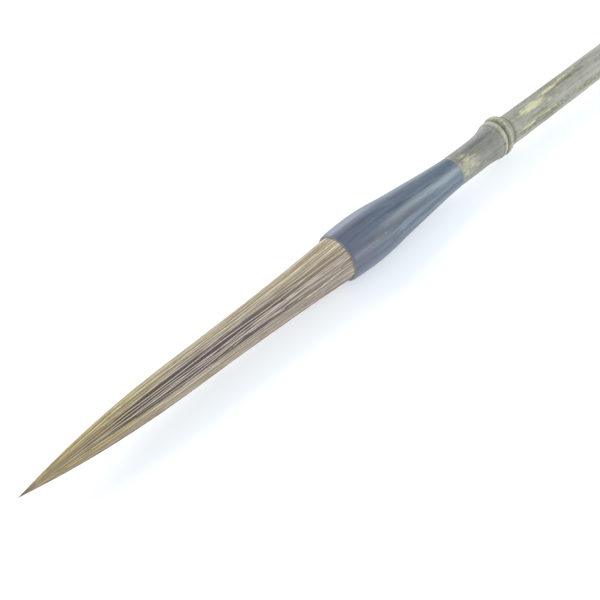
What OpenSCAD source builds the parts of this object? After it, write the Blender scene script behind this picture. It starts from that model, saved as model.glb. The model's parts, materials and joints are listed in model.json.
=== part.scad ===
// Calligraphy brush: a bamboo handle, a turned horn ferrule and a bound tuft of stiff hair.
// The brush lies along X with the tuft's point at -X and the tail at +X. Z = 0 is the surface it lies on.

/* [Tuft] */
// Length of the hair that shows in front of the ferrule
tuft_length = 118.5; // [100:0.5:130]
// Diameter of the tuft where it leaves the ferrule
tuft_mouth_d = 15.1; // [14:0.1:15.1]
// Length of the shown hair, next to the ferrule, that stays still when the tuft is pressed
belly_length = 50; // [45:1:55]
// Furthest that the tuft bends to either side, in degrees
bend_limit = 35; // [20:1:35]
// Thickness of the sheet of cover hairs
cover_thickness = 0.9; // [0.6:0.1:1.2]
// Thickness of the short waist hairs under the cover
waist_thickness = 1.5; // [1:0.1:2]

/* [Root] */
// Length of the bound root inside the ferrule
root_length = 16.5; // [15.5:0.5:17]
// Diameter of the root under its binding
root_d = 13.8; // [12.5:0.1:14]
// Diameter of the binding thread
thread_d = 0.5; // [0.3:0.05:0.5]
// Turns of thread in each of the two bands
thread_turns = 5; // [3:1:5]

/* [Ferrule] */
// Length of the horn ferrule
ferrule_length = 55; // [52:0.5:62]
// Largest diameter of the ferrule
ferrule_d = 17.8; // [17.4:0.1:19]
// Diameter of the cup that holds the root
cup_d = 15.2; // [15.2:0.1:15.6]
// Depth of the cup
cup_depth = 21; // [20:0.5:22]

/* [Handle] */
// Length of the bamboo, from the ferrule to the tail cap
handle_length = 169.5; // [150:0.5:190]
// Diameter of the bamboo at the ferrule
handle_d = 10.9; // [10.5:0.1:11.2]
// Diameter of the long middle stretch, where the fingers hold it
grip_d = 10.6; // [10:0.1:11]
// Diameter of the bamboo at the tail
handle_tail_d = 10.3; // [9.8:0.1:10.8]
// Distance from the ferrule to the first joint of the bamboo
first_joint = 23.5; // [21:0.5:26]
// Distance from the ferrule to the second joint of the bamboo
second_joint = 122; // [105:1:130]
// Height of the ridge at a joint of the bamboo
ridge_height = 1.5; // [1.2:0.05:1.6]
// Diameter of the dowel that joins the ferrule to the bamboo
dowel_d = 6; // [5:0.1:6.4]

/* [Tail] */
// Length of the tail cap that shows
cap_length = 14; // [12:0.5:16]
// Diameter of the bore for a hanging loop
eye_d = 2.5; // [2:0.1:3]
// Depth of the bore for a hanging loop
eye_depth = 12; // [10:0.5:13]

/* [Hidden] */
$fn = 96;

total_length = tuft_length + ferrule_length + handle_length + cap_length;
mouth_x = tuft_length - total_length / 2;   // the ferrule's mouth along X
axis_z = ferrule_d / 2;                     // the brush lies on the ferrule's belly

mouth_r = tuft_mouth_d / 2;
cup_r = cup_d / 2;
root_r = root_d / 2;
dowel_r = dowel_d / 2;
handle_r = handle_d / 2;
grip_r = grip_d / 2;
tail_r = handle_tail_d / 2;

layer_gap = 0.05;           // between one hair layer and the next
core_end = 9;               // the core stops this far behind the very point
tip_r = 0.12;

seal_thickness = 1.5;
dowel_in_ferrule = 19.5;
dowel_in_handle = 20;
dowel_gap = 0.5;            // room for glue past each end of the dowel
dowel_chamfer = 0.5;
spigot_r = 3;
spigot_length = 11;
edge_bevel = 0.35;

HAIR = [0.66, 0.57, 0.40];
HAIR_DARK = [0.42, 0.35, 0.28];
HORN = [0.12, 0.14, 0.18];
BAMBOO = [0.62, 0.60, 0.50];

// Places a shape drawn along Z from the ferrule's mouth onto the brush's axis.
// Negative heights lie in the tuft and positive ones towards the tail.
module on_axis(height = 0) {
    translate([mouth_x + height, 0, axis_z]) rotate([0, 90, 0]) children();
}

// A Catmull-Rom value at share t between points b and c, with a before them and d after them.
function curve_at(a, b, c, d, t) =
    0.5 * (2 * b + (c - a) * t + (2 * a - 5 * b + 4 * c - d) * t * t + (3 * b - a - 3 * c + d) * t * t * t);

// A smooth outline through [height, radius] stations, with a number of steps between one and the next.
function smooth(s, steps = 5) = [
    for (i = [0 : len(s) - 2], k = [0 : steps - 1])
        curve_at(s[max(i - 1, 0)], s[i], s[i + 1], s[min(i + 2, len(s) - 1)], k / steps),
    s[len(s) - 1]
];

// Radius of the tuft at a share u of its length from the point: a flare towards the ferrule times a rounded point.
point_round = 0.5;          // share of the length over which the tuft closes to its point
function tuft_radius(u) =
    mouth_r * (0.69 + 0.31 * pow(u, 3.2)) * (1 - pow(1 - min(u / point_round, 1), 2.25));
function tuft_r(height) = max(tip_r, tuft_radius((tuft_length + height) / tuft_length));

// Outline of the tuft between two heights, moved inwards by inset.
function tuft_outline(from, to, inset = 0, steps = 12) = [
    for (k = [0 : steps])
        let (h = from + (to - from) * k / steps)
        [max(tip_r, tuft_r(h) - inset), h]
];

// A solid turned from an outline of [radius, height] points, closed along the axis.
module turned(outline) {
    rotate_extrude()
        polygon(concat([[0, outline[0][1]]], outline, [[0, outline[len(outline) - 1][1]]]));
}

// A sleeve turned from an outer outline and the same outline's inner copy.
module sleeve(outer, inner) {
    rotate_extrude()
        polygon(concat(outer, [for (i = [len(inner) - 1 : -1 : 0]) inner[i]]));
}

module rod(r, length, bevel = 0) {
    turned([[r - bevel, 0], [r, bevel], [r, length - bevel], [r - bevel, length]]);
}

// ---------- Tuft ----------

inset_waist = cover_thickness + layer_gap;
inset_core = inset_waist + waist_thickness + layer_gap;
waist_length = belly_length - 12;
skin_start = -0.1;                  // the shown hair starts just clear of the root

// The tuft bends on a ball at this height. The still hair is cut back so that it clears the ball's whole swing.
pivot = -belly_length;
swing_r = tuft_r(pivot);
swing_gap = 0.3;
still_start = pivot + swing_r * sin(bend_limit) + swing_gap;

module cover_hairs_belly() {
    color(HAIR)
        on_axis() sleeve(
            tuft_outline(still_start, skin_start),
            tuft_outline(still_start, skin_start, cover_thickness)
        );
}

module waist_hairs() {
    color(HAIR_DARK)
        on_axis() sleeve(
            tuft_outline(-waist_length, skin_start, inset_waist),
            tuft_outline(-waist_length, skin_start, inset_waist + waist_thickness)
        );
}

// The core fills the waist hairs' sleeve and comes out to the cover in front of them.
module core_hairs_belly() {
    color(HAIR_DARK)
        on_axis() difference() {
            turned(concat(
                tuft_outline(still_start, -waist_length - layer_gap, inset_waist, 4),
                tuft_outline(-waist_length - layer_gap, skin_start, inset_core)
            ));
            translate([0, 0, pivot]) sphere(r = swing_r + swing_gap);
        }
}

module core_hairs_point() {
    ball_r = swing_r - inset_waist;
    color(HAIR_DARK)
        on_axis() {
            turned(tuft_outline(-tuft_length + core_end, pivot, inset_waist, 16));
            translate([0, 0, pivot]) sphere(r = ball_r);
        }
}

module cover_hairs_point() {
    tip_cone = 1;
    color(HAIR)
        on_axis() difference() {
            turned(concat(
                [[tip_r, -tuft_length]],
                tuft_outline(-tuft_length + tip_cone, pivot, 0, 20)
            ));
            turned(concat(
                tuft_outline(-tuft_length + core_end - layer_gap, pivot, cover_thickness, 16),
                [[swing_r - cover_thickness, pivot + 1]]
            ));
        }
}

// ---------- Root ----------

root_taper = 5.5;                   // the bound root is thinner than the mouth from here on
root_flare = 2.5;                   // and spreads again over its last stretch
thread_pitch = thread_d * 1.1;
band_length = thread_turns * thread_pitch;
band_places = [root_taper + 0.7, root_length - root_flare - 0.2 - band_length];

module hair_root() {
    color(HAIR_DARK)
        on_axis() turned(smooth([
            [mouth_r, 0], [mouth_r - 0.05, 2.5], [root_r, root_taper],
            [root_r, root_length - root_flare], [root_r + 0.2, root_length]
        ]));
}

module root_thread() {
    color([0.83, 0.80, 0.72])
        on_axis()
            for (start = band_places, turn = [0 : thread_turns - 1])
                translate([0, 0, start + (turn + 0.5) * thread_pitch])
                    rotate_extrude()
                        translate([root_r + thread_d / 2 + 0.02, 0]) circle(d = thread_d, $fn = 24);
}

module root_seal() {
    color([0.45, 0.27, 0.12])
        on_axis(root_length) rod(root_r + 0.2, seal_thickness, 0.3);
}

module cup_resin() {
    start = root_length + seal_thickness;
    color([0.72, 0.58, 0.30])
        on_axis(start) rod(cup_r, cup_depth - start);
}

// ---------- Ferrule ----------

ferrule_outline = smooth([
    [8.42, 0.5], [8.7, 4], [ferrule_d / 2, 11], [8.55, 18.5], [7.7, 26], [7.08, 33.5],
    [6.4, 41.5], [5.8, 49], [handle_r + 0.05, ferrule_length - edge_bevel]
]);

module horn_ferrule() {
    lip = [[cup_r + 0.1, 0], [8.05, 0], [8.3, 0.2]];
    color(HORN)
        on_axis() difference() {
            turned(concat(lip, ferrule_outline, [[handle_r - edge_bevel, ferrule_length]]));
            translate([0, 0, -1]) cylinder(h = cup_depth + 1, r = cup_r);
            translate([0, 0, ferrule_length - dowel_in_ferrule - dowel_gap])
                cylinder(h = dowel_in_ferrule + dowel_gap + 1, r = dowel_r);
        }
}

module ferrule_dowel() {
    color([0.78, 0.68, 0.48])
        on_axis(ferrule_length - dowel_in_ferrule)
            rod(dowel_r, dowel_in_ferrule + dowel_in_handle, dowel_chamfer);
}

// ---------- Handle ----------

// The outline over one joint, from a stretch of radius r to one of radius r_next:
// a flare, the band of the sheath scar with a groove on each side, the rounded ridge and the fall behind it.
function joint_outline(at, r, r_next) = concat(
    smooth([[r, at - 11], [r + 0.12, at - 7.5], [r + 0.5, at - 4.4], [r + 0.9, at - 2.9]], 4),
    [[r + 0.82, at - 2.6], [r + 1.08, at - 2.25], [r + 1.15, at - 1.2], [r + 1.05, at - 0.5], [r + 0.85, at - 0.15]],
    smooth([
        [r + ridge_height - 0.3, at + 0.35], [r + ridge_height, at + 1.4], [r + ridge_height - 0.15, at + 2.5],
        [r_next + 0.8, at + 3.5], [r_next + 0.25, at + 4.4], [r_next, at + 8]
    ], 4)
);

module bamboo_handle() {
    color(BAMBOO)
        on_axis(ferrule_length) difference() {
            turned(concat(
                [[handle_r - edge_bevel, 0], [handle_r, edge_bevel]],
                joint_outline(first_joint, handle_r, grip_r),
                joint_outline(second_joint, grip_r, tail_r),
                [[tail_r, handle_length - edge_bevel], [tail_r - edge_bevel, handle_length]]
            ));
            translate([0, 0, -1]) cylinder(h = dowel_in_handle + dowel_gap + 1, r = dowel_r);
            translate([0, 0, handle_length - spigot_length - dowel_gap])
                cylinder(h = spigot_length + dowel_gap + 1, r = spigot_r);
        }
}

// ---------- Tail ----------

cap_outline = smooth([
    [tail_r, 0.3], [tail_r + 0.75, 1.7], [tail_r + 0.7, 2.8], [tail_r - 0.35, 4.4],
    [tail_r + 0.1, 7], [tail_r + 0.25, 9], [tail_r - 0.6, 11.8], [tail_r - 2.2, cap_length]
]);

module tail_cap() {
    color(HORN)
        on_axis(ferrule_length + handle_length) difference() {
            union() {
                turned(concat([[tail_r - 0.3, 0]], cap_outline));
                translate([0, 0, -spigot_length]) rod(spigot_r, spigot_length + 1, 0.4);
            }
            translate([0, 0, cap_length - eye_depth]) cylinder(h = eye_depth + 1, r = eye_d / 2);
        }
}

bamboo_handle();
ferrule_dowel();
horn_ferrule();
cup_resin();
root_seal();
root_thread();
hair_root();
waist_hairs();
core_hairs_belly();
cover_hairs_belly();
core_hairs_point();
cover_hairs_point();
tail_cap();
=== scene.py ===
"""Looks of a calligraphy brush with a hair tuft, horn ferrule, bamboo handle and tail cap."""

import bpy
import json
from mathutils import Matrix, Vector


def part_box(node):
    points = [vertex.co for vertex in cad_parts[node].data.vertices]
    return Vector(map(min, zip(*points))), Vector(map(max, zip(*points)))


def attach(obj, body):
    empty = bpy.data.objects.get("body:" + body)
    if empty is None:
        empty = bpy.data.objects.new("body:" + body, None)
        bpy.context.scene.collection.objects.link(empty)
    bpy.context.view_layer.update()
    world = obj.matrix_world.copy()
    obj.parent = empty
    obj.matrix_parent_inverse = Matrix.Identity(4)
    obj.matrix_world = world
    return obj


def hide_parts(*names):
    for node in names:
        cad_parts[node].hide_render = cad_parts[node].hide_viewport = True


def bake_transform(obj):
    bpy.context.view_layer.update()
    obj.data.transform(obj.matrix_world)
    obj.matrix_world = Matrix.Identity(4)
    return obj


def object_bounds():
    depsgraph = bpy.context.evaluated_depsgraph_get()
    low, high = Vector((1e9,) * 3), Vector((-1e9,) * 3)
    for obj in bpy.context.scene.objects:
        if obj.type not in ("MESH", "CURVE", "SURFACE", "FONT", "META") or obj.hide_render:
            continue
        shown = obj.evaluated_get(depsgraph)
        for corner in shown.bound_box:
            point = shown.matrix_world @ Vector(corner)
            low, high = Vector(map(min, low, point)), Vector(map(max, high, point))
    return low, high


bl_info = {
    "name": "Calligraphy Brush",
    "version": (1, 0, 0),
    "blender": (4, 5, 0),
    "location": "View3D > Sidebar > Brush",
    "description": "Builds a calligraphy brush with a hair tuft, horn ferrule, bamboo handle and tail cap",
    "category": "Object",
}

import json
import math

import bmesh
import bpy
import numpy as np
from bpy.props import FloatProperty, FloatVectorProperty, IntProperty, PointerProperty
from mathutils import Vector

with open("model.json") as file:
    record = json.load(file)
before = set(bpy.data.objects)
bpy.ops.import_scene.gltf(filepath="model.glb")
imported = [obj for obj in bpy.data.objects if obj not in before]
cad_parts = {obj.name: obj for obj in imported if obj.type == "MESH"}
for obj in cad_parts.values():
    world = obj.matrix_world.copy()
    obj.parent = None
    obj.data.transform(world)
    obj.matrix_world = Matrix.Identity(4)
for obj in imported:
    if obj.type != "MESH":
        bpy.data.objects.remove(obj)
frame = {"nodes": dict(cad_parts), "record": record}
CAD_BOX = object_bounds()

MM = 0.001
TAU = math.tau

SHARP_EDGE = math.radians(35)

HANDLE_BODY = "handle"

# ---------- Places, all from the frame ----------

POINT_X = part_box("cover_hairs_point")[0].x
MOUTH_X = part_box("horn_ferrule")[0].x
FERRULE_END_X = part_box("horn_ferrule")[1].x
CAP_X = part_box("bamboo_handle")[1].x
CUP_END_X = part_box("cup_resin")[1].x
TUFT_LENGTH = MOUTH_X - POINT_X
AXIS_Z = (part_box("horn_ferrule")[0].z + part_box("horn_ferrule")[1].z) / 2
CUP_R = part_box("cup_resin")[1].y
DOWEL_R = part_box("ferrule_dowel")[1].y
EYE = next(m for m in frame["record"]["mounts"] if m["name"] == "hanging_bore")["dims"]

# The tuft's outline, as shares of its radius at the mouth against the share of its length from the point.
MOUTH_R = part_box("cover_hairs_belly")[1].y
WAIST_SHARE = 0.69      # radius behind the point's curve
FLARE_POWER = 3.2       # how late the tuft widens towards the mouth
POINT_ROUND = 0.5       # share of the length that closes to the point
POINT_POWER = 2.25      # how full that stretch is

HAIR_SIDES = 4
HAIR_POINTS = 15
THREAD_SIDES = 8
THREAD_POINTS = 337             # along the thread of one band
THREAD_WIDTH = 0.5 * MM
GLUE_GAP = 0.5 * MM             # how far a socket is deeper than what sits in it

# Directions round the axis, from +Y towards +Z.
FRONT_ANGLE = math.radians(121)     # the side that shows most
UPPER_ANGLE = math.radians(31)      # the side that is seen as its upper edge


# ---------- Settings ----------

class TuftSettings(bpy.types.PropertyGroup):
    """Sizes and colours of the hair."""
    hairs: IntProperty(
        name="Hairs", description="Hairs in one layer of cover hair", default=1150, min=50, max=1600)
    hair_width: FloatProperty(
        name="Hair width", description="Thickness of one cover hair", default=0.42 * MM,
        min=0.1 * MM, max=0.6 * MM, subtype="DISTANCE", unit="LENGTH", precision=5)
    streak: FloatProperty(
        name="Dark streak", description="Strength of the dark streak along the hair", default=0.5,
        min=0, max=1, subtype="FACTOR")
    dark: FloatVectorProperty(
        name="Dark hair", description="Colour of the darkest hair", default=(0.105, 0.085, 0.08),
        min=0, max=1, subtype="COLOR")
    mid: FloatVectorProperty(
        name="Tan hair", description="Colour of most of the hair", default=(0.275, 0.233, 0.18),
        min=0, max=1, subtype="COLOR")
    pale: FloatVectorProperty(
        name="Pale hair", description="Colour of the light hair", default=(0.52, 0.475, 0.39),
        min=0, max=1, subtype="COLOR")
    # the nearly white hairs are partly painted glints
    bright: FloatVectorProperty(
        name="Bright hair", description="Colour of the few nearly white hairs", default=(0.84, 0.82, 0.76),
        min=0, max=1, subtype="COLOR")
    seed: IntProperty(name="Seed", description="Seed of the hairs' random draw", default=7, min=0)


class HornSettings(bpy.types.PropertyGroup):
    """Colours of the ferrule and the tail cap."""
    dark: FloatVectorProperty(
        name="Dark horn", description="Colour of the horn's dark body", default=(0.056, 0.072, 0.108),
        min=0, max=1, subtype="COLOR")
    light: FloatVectorProperty(
        name="Light streaks", description="Colour of the horn's lighter streaks",
        default=(0.125, 0.158, 0.205), min=0, max=1, subtype="COLOR")
    roughness: FloatProperty(
        name="Roughness", description="How dull the polish is", default=0.4, min=0, max=1, subtype="FACTOR")


class BambooSettings(bpy.types.PropertyGroup):
    """Colours and shape of the bamboo."""
    grey: FloatVectorProperty(
        name="Grey skin", description="Colour of the weathered skin", default=(0.36, 0.36, 0.322),
        min=0, max=1, subtype="COLOR")
    olive: FloatVectorProperty(
        name="Olive skin", description="Colour of the darker, greener skin", default=(0.255, 0.252, 0.20),
        min=0, max=1, subtype="COLOR")
    scuff: FloatVectorProperty(
        name="Scuffs", description="Colour where the skin is worn off", default=(0.62, 0.59, 0.37),
        min=0, max=1, subtype="COLOR")
    bow: FloatProperty(
        name="Bow", description="How far the culm strays from a straight line", default=0.2 * MM,
        min=0, max=1 * MM, subtype="DISTANCE", unit="LENGTH", precision=5)
    slant: FloatProperty(
        name="Joint slant", description="How far a joint's ring leans along the handle", default=0.9 * MM,
        min=0, max=2 * MM, subtype="DISTANCE", unit="LENGTH", precision=5)


class StageSettings(bpy.types.PropertyGroup):
    """Camera and floor."""
    lens: FloatProperty(
        name="Lens", description="Focal length on a 36 mm sensor", default=60, min=20, max=200,
        subtype="DISTANCE_CAMERA")
    azimuth: FloatProperty(
        name="Azimuth", description="Turn of the view about the vertical", default=math.radians(-44.24),
        subtype="ANGLE")
    elevation: FloatProperty(
        name="Elevation", description="Height of the view above the floor", default=math.radians(51.07),
        subtype="ANGLE")
    distance: FloatProperty(
        name="Distance", description="From the camera to the point that it looks at", default=0.3016,
        min=0.1, max=2, subtype="DISTANCE", unit="LENGTH", precision=4)
    aim: FloatVectorProperty(
        name="Aim", description="Point that the camera looks at",
        default=(POINT_X + 98.7 * MM, -3.75 * MM, AXIS_Z), subtype="TRANSLATION", unit="LENGTH", precision=4)
    floor: FloatVectorProperty(
        name="Floor", description="Colour of the floor", default=(0.92, 0.93, 0.94),
        min=0, max=1, subtype="COLOR")


# ---------- Node helpers ----------

def feed(tree, socket, value):
    """Links an output socket to socket, or sets socket to a value."""
    if isinstance(value, bpy.types.NodeSocket):
        tree.links.new(value, socket)
    else:
        socket.default_value = value


def put(tree, kind, inputs=None, **settings):
    """Adds a node with its settings, then its inputs. A key of inputs is a socket's name or number."""
    node = tree.nodes.new(kind)
    for name, value in settings.items():
        setattr(node, name, value)
    for key, value in (inputs or {}).items():
        feed(tree, node.inputs[key], value)
    return node


def calc(tree, operation, *values):
    """A Math node's result."""
    node = put(tree, "ShaderNodeMath", dict(enumerate(values)), operation=operation)
    return node.outputs[0]


def times(tree, first, second):
    return calc(tree, "MULTIPLY", first, second)


def plus(tree, first, second):
    return calc(tree, "ADD", first, second)


def minus(tree, first, second):
    return calc(tree, "SUBTRACT", first, second)


def scaled(tree, value, factor, offset):
    """value * factor + offset."""
    return calc(tree, "MULTIPLY_ADD", value, factor, offset)


def ramp(tree, value, low, high, to_low=0.0, to_high=1.0):
    """A smooth step: to_low where value is low, and to_high where it is high."""
    inputs = {"Value": value, "From Min": low, "From Max": high, "To Min": to_low, "To Max": to_high}
    node = put(tree, "ShaderNodeMapRange", interpolation_type="SMOOTHSTEP")
    for socket in node.inputs[:5]:
        feed(tree, socket, inputs[socket.name])
    return node.outputs[0]


def xyz(tree, x, y, z):
    return put(tree, "ShaderNodeCombineXYZ", {0: x, 1: y, 2: z}).outputs[0]


def stretched(tree, place, amounts):
    """A place with each coordinate multiplied by its own amount."""
    return put(tree, "ShaderNodeVectorMath", {0: place, 1: amounts}, operation="MULTIPLY").outputs[0]


def noise(tree, place, scale, detail, roughness=0.5):
    """Cloudy noise from 0 to 1."""
    inputs = {"Vector": place, "Scale": scale, "Detail": detail, "Roughness": roughness}
    return put(tree, "ShaderNodeTexNoise", inputs).outputs[0]


def attributes(tree, *names):
    """The values that the mesh itself carries under these names."""
    return [put(tree, "ShaderNodeAttribute", attribute_name=name).outputs["Fac"] for name in names]


def mixed(tree, share, first, second, blend="MIX"):
    """Two colours mixed by a share."""
    node = put(tree, "ShaderNodeMix", data_type="RGBA", blend_type=blend)
    feed(tree, node.inputs["Factor"], share)
    for name, value in (("A", first), ("B", second)):
        socket = next(s for s in node.inputs if s.name == name and s.type == "RGBA")
        feed(tree, socket, value if isinstance(value, bpy.types.NodeSocket) else (*value, 1))
    return next(s for s in node.outputs if s.type == "RGBA")


def new_tree(name, kind, inputs, outputs):
    """A node tree with inputs, as (name, type, default), and outputs, as (name, type). Returns the tree, its
    given values and its output node."""
    tree = bpy.data.node_groups.new(name, kind)
    for socket_name, socket_type in outputs:
        tree.interface.new_socket(name=socket_name, in_out="OUTPUT", socket_type="NodeSocket" + socket_type)
    for socket_name, socket_type, value in inputs:
        socket = tree.interface.new_socket(
            name=socket_name, in_out="INPUT", socket_type="NodeSocket" + socket_type)
        if value is not None:
            socket.default_value = value
    return tree, tree.nodes.new("NodeGroupInput").outputs, tree.nodes.new("NodeGroupOutput").inputs


# ---------- Shared shader groups ----------

def grain_group():
    """Streaks that run along the brush. Outputs a mask from 0 to 1."""
    tree = bpy.data.node_groups.get("Long grain")
    if tree:
        return tree
    tree, given, out = new_tree("Long grain", "ShaderNodeTree", (
        ("Vector", "Vector", None), ("Along", "Float", 20.0), ("Across", "Float", 600.0),
        ("Contrast", "Float", 0.3),
    ), (("Mask", "Float"),))
    stretch = xyz(tree, given["Along"], given["Across"], given["Across"])
    level = noise(tree, stretched(tree, given["Vector"], stretch), 1.0, 4.0, 0.6)
    low = minus(tree, 0.5, given["Contrast"])
    high = plus(tree, 0.5, given["Contrast"])
    tree.links.new(ramp(tree, level, low, high), out["Mask"])
    return tree


def patch_group():
    """Ragged patches where a level passes a limit. Outputs the patches and the rim round them."""
    tree = bpy.data.node_groups.get("Ragged patches")
    if tree:
        return tree
    tree, given, out = new_tree("Ragged patches", "ShaderNodeTree", (
        ("Vector", "Vector", None), ("Level", "Float", 0.5), ("Along", "Float", 300.0),
        ("Across", "Float", 900.0), ("Raggedness", "Float", 0.5), ("Softness", "Float", 0.05),
    ), (("Patch", "Float"), ("Rim", "Float")))
    stretch = xyz(tree, given["Along"], given["Across"], given["Across"])
    ragged = noise(tree, stretched(tree, given["Vector"], stretch), 1.0, 5.0, 0.65)
    rough = times(tree, minus(tree, ragged, 0.5), given["Raggedness"])
    level = minus(tree, plus(tree, given["Level"], rough), 0.5)
    soft = given["Softness"]
    patch = ramp(tree, level, times(tree, soft, -1.0), soft)
    distance = calc(tree, "ABSOLUTE", plus(tree, level, soft))
    rim = minus(tree, 1.0, ramp(tree, distance, 0.0, times(tree, soft, 2.0)))
    tree.links.new(patch, out["Patch"])
    tree.links.new(rim, out["Rim"])
    return tree


def grain(tree, place, along, across, contrast):
    """The long grain, placed in a material."""
    inputs = {"Vector": place, "Along": along, "Across": across, "Contrast": contrast}
    return put(tree, "ShaderNodeGroup", inputs, node_tree=grain_group()).outputs[0]


def patches(tree, place, level, along, across, raggedness, softness):
    """The ragged patches, placed in a material: the patches and their rims."""
    inputs = {
        "Vector": place, "Level": level, "Along": along, "Across": across, "Raggedness": raggedness,
        "Softness": softness,
    }
    outputs = put(tree, "ShaderNodeGroup", inputs, node_tree=patch_group()).outputs
    return outputs["Patch"], outputs["Rim"]


# ---------- Materials ----------

def new_material(name):
    """An empty material: its tree, its Principled shader and the object coordinates."""
    material = bpy.data.materials.new(name)
    material.use_nodes = True
    tree = material.node_tree
    tree.nodes.clear()
    shader = tree.nodes.new("ShaderNodeBsdfPrincipled")
    out = tree.nodes.new("ShaderNodeOutputMaterial")
    tree.links.new(shader.outputs[0], out.inputs[0])
    place = tree.nodes.new("ShaderNodeTexCoord").outputs["Object"]
    return material, tree, shader, place


def bump(tree, shader, height, distance, strength):
    node = put(tree, "ShaderNodeBump", {"Strength": strength, "Distance": distance, "Height": height})
    tree.links.new(node.outputs[0], shader.inputs["Normal"])


def paint(tree, shader, colour, roughness):
    tree.links.new(colour, shader.inputs["Base Color"])
    tree.links.new(roughness, shader.inputs["Roughness"])


def look(name, make, *settings):
    """The material of that name, made by make if it isn't there yet."""
    return bpy.data.materials.get(name) or make(*settings)


# Changes of colour that multiply the hair's own colour.
COOL_HAIR = (0.99, 0.94, 0.96)
WARM_HAIR = (1.04, 0.985, 0.84)
GOLDEN_END = (1.02, 0.96, 0.62)
GREY_TIP = (0.13, 0.125, 0.115)


def hair_material(name, settings, dim):
    """Hair coloured by each hair's own tone, with fine changes along it. dim darkens the inner layers as
    painted shade under the cover hair.
    """
    material, tree, shader, _ = new_material(name)
    tone, share, strand, gold = attributes(tree, "tone", "share", "strand", "gold")
    fine = grain(tree, xyz(tree, share, strand, strand), 24.0, 300.0, 0.28)
    level = plus(tree, tone, scaled(tree, fine, 0.26, -0.13 - dim))
    colour = mixed(tree, ramp(tree, level, 0.05, 0.5), settings.dark, settings.mid)
    colour = mixed(tree, ramp(tree, level, 0.5, 0.95), colour, settings.pale)
    # the brightest level is partly a painted glint on the nearly white hairs
    colour = mixed(tree, ramp(tree, level, 1.1, 1.5), colour, settings.bright)
    # warmer where gold is high, which on the upper side is painted light
    colour = mixed(tree, 1.0, colour, mixed(tree, gold, COOL_HAIR, WARM_HAIR), "MULTIPLY")
    # the thin end is more golden, and its last few millimetres are grey
    golden = mixed(tree, 1.0, colour, GOLDEN_END, "MULTIPLY")
    thin_end = times(tree, ramp(tree, share, 0.55, 0.1), scaled(tree, gold, 0.6, 0.4))
    colour = mixed(tree, thin_end, colour, golden)
    colour = mixed(tree, times(tree, ramp(tree, share, 0.06, 0.0), 0.6), colour, GREY_TIP)
    paint(tree, shader, colour, scaled(tree, fine, 0.12, 0.42))
    shader.inputs["Specular IOR Level"].default_value = 0.35
    return material


HORN_PALE_STREAK_AND_SHEEN = (0.185, 0.225, 0.262)
HORN_DARK_STREAK = (0.035, 0.048, 0.07)
HORN_LINE = (0.04, 0.052, 0.078)
# lighter teal towards the handle, partly a painted sheen
HORN_TEAL_AND_SHEEN = (1.03, 1.12, 1.06)      # multiplies the horn's colour
HORN_VIOLET = (0.125, 0.115, 0.17)
HORN_LIP_HIGHLIGHT = (0.27, 0.29, 0.32)
HORN_SPECK = (0.30, 0.33, 0.36)


def horn_material(settings):
    """Polished dark horn with long soft streaks, thin dark lines and fine scratches. Its pale streaks and
    lighter teal rear are partly painted sheen, and its lip has a painted highlight.
    """
    material, tree, shader, place = new_material("dark_horn")
    pale, dark = attributes(tree, "pale", "dark")
    broad = grain(tree, place, 9.0, 190.0, 0.2)
    lines = grain(tree, place, 14.0, 620.0, 0.16)
    scratch = grain(tree, place, 90.0, 4200.0, 0.12)
    cloud = noise(tree, place, 130.0, 4.0, 0.7)
    colour = mixed(tree, broad, settings.dark, settings.light)
    # the pale streaks are partly the horn's own and partly a painted sheen on the side that shows most
    pale = times(tree, pale, ramp(tree, lines, 1.0, 0.2, 0.45, 1.0))
    colour = mixed(tree, pale, colour, HORN_PALE_STREAK_AND_SHEEN)
    colour = mixed(tree, dark, colour, HORN_DARK_STREAK)
    colour = mixed(tree, ramp(tree, lines, 0.62, 0.9, 0.0, 0.4), colour, HORN_LINE)
    # teal and lighter towards the handle, partly a painted sheen, violet towards the mouth, a painted
    # highlight on the lip, and a few pale specks
    x = put(tree, "ShaderNodeSeparateXYZ", {0: place}).outputs[0]
    teal = ramp(tree, x, MOUTH_X + 10 * MM, MOUTH_X + 45 * MM)
    colour = mixed(tree, teal, colour, mixed(tree, 1.0, colour, HORN_TEAL_AND_SHEEN, "MULTIPLY"))
    violet = scaled(tree, ramp(tree, x, MOUTH_X + 18 * MM, MOUTH_X), 0.5, 0.06)
    violet = times(tree, violet, ramp(tree, cloud, 0.3, 0.7))
    colour = mixed(tree, violet, colour, HORN_VIOLET)
    # a painted highlight on the lip of the mouth
    lip_highlight = ramp(tree, x, MOUTH_X + 0.3 * MM, MOUTH_X, 0.0, 0.6)
    colour = mixed(tree, lip_highlight, colour, HORN_LIP_HIGHLIGHT)
    speck = ramp(tree, noise(tree, place, 2200.0, 1.0), 0.68, 0.74, 0.0, 0.4)
    colour = mixed(tree, speck, colour, HORN_SPECK)
    dull = scaled(tree, cloud, 0.14, settings.roughness - 0.07)
    paint(tree, shader, colour, scaled(tree, scratch, 0.05, dull))
    shader.inputs["Coat Weight"].default_value = 0.2
    shader.inputs["Coat Roughness"].default_value = 0.28
    bump(tree, shader, scratch, 0.01 * MM, 0.35)
    return material


FIBRE_DARK = (0.74, 0.74, 0.73)     # these two multiply the skin's colour
FIBRE_LIGHT = (1.16, 1.16, 1.13)
BAMBOO_BAND = (0.2, 0.195, 0.15)
BAMBOO_STAIN = (0.13, 0.125, 0.06)
BAMBOO_WORN = (0.42, 0.395, 0.26)
BAMBOO_WORN_RIM = (0.17, 0.15, 0.07)
BAMBOO_RIDGE_AND_HIGHLIGHT = (0.52, 0.50, 0.38)
BAMBOO_SHADE = (0.43, 0.46, 0.68)   # multiplies the skin's colour
BAMBOO_GROOVE_AND_SHADE = (0.10, 0.095, 0.06)


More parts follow.
